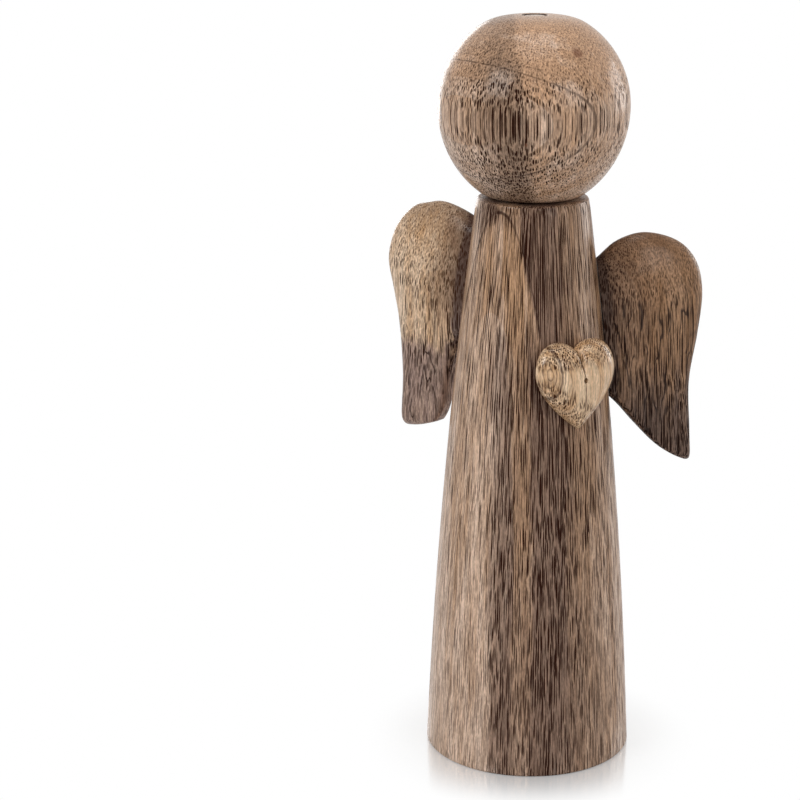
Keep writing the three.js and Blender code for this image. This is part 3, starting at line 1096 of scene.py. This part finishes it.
def makeHeart(look):
    radii = heartRadii(look)
    mesh = bmesh.new()
    bmesh.ops.create_uvsphere(mesh, u_segments=look["columns"], v_segments=look["rows"], radius=1.0)
    bmesh.ops.rotate(mesh, verts=mesh.verts, cent=(0, 0, 0), matrix=Matrix.Rotation(math.pi / 2, 3, "X"))
    firstRing = math.sin(math.pi / look["rows"]) * 1.2  # a little outside the ring next to a pole
    for vert in mesh.verts:
        x, y, z = vert.co
        out = math.hypot(x, z)
        angle = math.atan2(x, z)
        reach = heartEdge(radii, angle) * out ** look["puff"]
        if out < firstRing:
            reach = look["holeRadius"] if out > 1e-4 else 0  # the pole itself stays in the middle
        depth = look["front"] if y < 0 else look["back"]
        px, pz = reach * math.sin(angle), reach * math.cos(angle)
        if out < firstRing:
            pz *= look["holeStretch"]
        along = min(max((pz - look["valleyFrom"]) / look["valleyRun"], 0), 1)
        groove = math.exp(-(px / look["valleyWidth"]) ** 2) * along
        vert.co = Vector((px, y * depth * (1 - look["valley"] * groove), pz)) * mm
    pole = min(mesh.verts, key=lambda vert: vert.co.y + vert.co.length)
    rim = [edge for face in pole.link_faces for edge in face.edges if pole not in edge.verts]
    bmesh.ops.delete(mesh, geom=[pole], context="VERTS")
    deeper = (0, look["holeDepth"] / look["holeSteps"] * mm, 0)
    for step in range(look["holeSteps"]):
        made = bmesh.ops.extrude_edge_only(mesh, edges=rim)["geom"]
        rim = [item for item in made if isinstance(item, bmesh.types.BMEdge)]
        verts = [item for item in made if isinstance(item, bmesh.types.BMVert)]
        bmesh.ops.translate(mesh, verts=verts, vec=deeper)
    bmesh.ops.holes_fill(mesh, edges=rim, sides=0)
    bmesh.ops.transform(mesh, verts=mesh.verts, matrix=heartPlace(look))
    masks = {"PoreAmount": heartPores, "Warmth": heartWarmth}
    material = woodMaterial("heartWood", look["wood"], masks, heartMarks)
    heart = finishPiece("puffed_heart", mesh, material, "heart", look["sharpAngle"])
    copeToBody(heart, look)


makeHeart(heartLook)
print("heart carved")

# brad: dark wire, sunk below the front of the heart
bradLook = {
    "radius": 0.55,
    "sink": 1.8,
    "depth": 9.0,
    "chamfer": 0.15,
    "sides": 24,
    "sharpAngle": 30,
    "spots": (2600, 2600, 2600),  # scale of noise per metre
    "spotNoise": (4.0, 0.6),      # detail and roughness
    "dark": "17120f",
    "rusty": "4a3a2f",
    "roughness": (0.3, 0.7, 0.45, 0.75),
    "metal": 0.8,
    "bump": 0.4,
    "bumpDepth": 0.05,
}


def bradMaterial(look):
    material = bpy.data.materials.new("bradSteel")
    freshTree(material)
    point = addNode("TexCoord").outputs["Object"]
    spots = noise(point, look["spots"], *look["spotNoise"])["Fac"]
    colour = mixColour(spots, hexColour(look["dark"]), hexColour(look["rusty"]))
    rough = ramp(spots, *look["roughness"])
    bump = addNode("Bump", {"Strength": look["bump"], "Distance": look["bumpDepth"] * mm, "Height": spots})
    shader = addNode("BsdfPrincipled", {"Base Color": colour, "Roughness": rough, "Metallic": look["metal"],
                                        "Normal": bump.outputs[0]})
    addNode("OutputMaterial", {"Surface": shader.outputs[0]})
    return material


def makeBrad(look):
    front = heartLook["front"] - look["sink"]
    end = -(heartLook["back"] - heartLook["seat"] + look["depth"])
    mesh = spinProfile(pinProfile(look["radius"], look["chamfer"], end, front), look["sides"])
    bmesh.ops.rotate(mesh, verts=mesh.verts, cent=(0, 0, 0), matrix=Matrix.Rotation(math.pi / 2, 3, "X"))
    bmesh.ops.transform(mesh, verts=mesh.verts, matrix=heartPlace(heartLook))
    finishPiece("heart_brad_wire", mesh, bradMaterial(look), "heart_brad", look["sharpAngle"])


makeBrad(bradLook)
print("brad made")

# floor, lamps and the white room, in metres
studio = {
    "floorSize": 8.0,
    "floorColour": (0.55, 0.55, 0.55, 1.0),
    "floorGlow": 0.7,
    "floorGloss": 0.14,
    "floorMirror": 0.62,  # share of the floor's polish
    "whiteFrom": 0.027,   # beyond the contact shadow the floor goes over into plain white
    "whiteTo": 0.048,
    "roomLight": 0.35,
    "backdrop": (-0.1, 0.4),  # the white behind the figure, by direction
    "lampAim": (0, 0, 0.1),
    "lamps": [
        ("key", (-0.55, -0.75, 0.7), 0.5, 5.1),
        ("fill", (0.75, -0.6, 0.5), 0.5, 2.2),
        ("top", (0.05, -0.1, 0.95), 0.5, 1.9),
        ("leftStrip", (-0.5, 0.8, 0.2), 0.4, 2.0),
        ("rightStrip", (0.6, 0.6, 0.25), 0.4, 2.0),
    ],
}


def seenStraight():
    light = addNode("LightPath").outputs
    mirrored = larger(light["Is Glossy Ray"], light["Is Transmission Ray"])
    return larger(light["Is Camera Ray"], mirrored)


def makeFloor(setup):
    mesh = bmesh.new()
    bmesh.ops.create_grid(mesh, x_segments=2, y_segments=2, size=setup["floorSize"] / 2)
    floor = meshObject("floor", mesh)
    material = bpy.data.materials.new("paleFloor")
    freshTree(material)
    seen = seenStraight()
    out = vectorValue("LENGTH", addNode("TexCoord").outputs["Object"])
    glow = addNode("Emission", {"Strength": times(seen, setup["floorGlow"])})
    matte = addNode("BsdfDiffuse", {"Color": setup["floorColour"]})
    bright = addNode("AddShader", {0: glow.outputs[0], 1: matte.outputs[0]})
    mirror = addNode("BsdfGlossy", {"Roughness": setup["floorGloss"]})
    near = addNode("MixShader", {0: setup["floorMirror"], 1: bright.outputs[0], 2: mirror.outputs[0]})
    plain = addNode("Emission", {"Strength": 1.0})
    share = times(seen, ramp(out, setup["whiteFrom"], setup["whiteTo"]))
    both = addNode("MixShader", {0: share, 1: near.outputs[0], 2: plain.outputs[0]})
    addNode("OutputMaterial", {"Surface": both.outputs[0]})
    floor.data.materials.append(material)


def makeRoom(setup):
    world = bpy.data.worlds.new("room")
    bpy.context.scene.world = world
    freshTree(world)
    direction = addNode("TexCoord").outputs["Generated"]
    behind = addNode("SeparateXYZ", {0: direction}).outputs[1]
    light = addNode("LightPath").outputs
    mirrored = times(light["Is Glossy Ray"], ramp(behind, *setup["backdrop"]))
    seen = larger(light["Is Camera Ray"], mirrored)
    strength = timesPlus(seen, 1.0 - setup["roomLight"], setup["roomLight"])
    background = addNode("Background", {"Color": (1, 1, 1, 1), "Strength": strength})
    addNode("OutputWorld", {"Surface": background.outputs[0]})


def makeLamps(setup):
    for name, place, size, power in setup["lamps"]:
        data = bpy.data.lights.new(name, "AREA")
        data.shape = "SQUARE"
        data.size = size
        data.energy = power
        lamp = newObject(name, data)
        lamp.location = place
        aim = Vector(setup["lampAim"]) - Vector(place)
        lamp.rotation_euler = aim.to_track_quat("-Z", "Y").to_euler()


makeFloor(studio)
makeRoom(studio)
makeLamps(studio)
bpy.context.scene.view_settings.view_transform = "Standard"
print("studio lit")
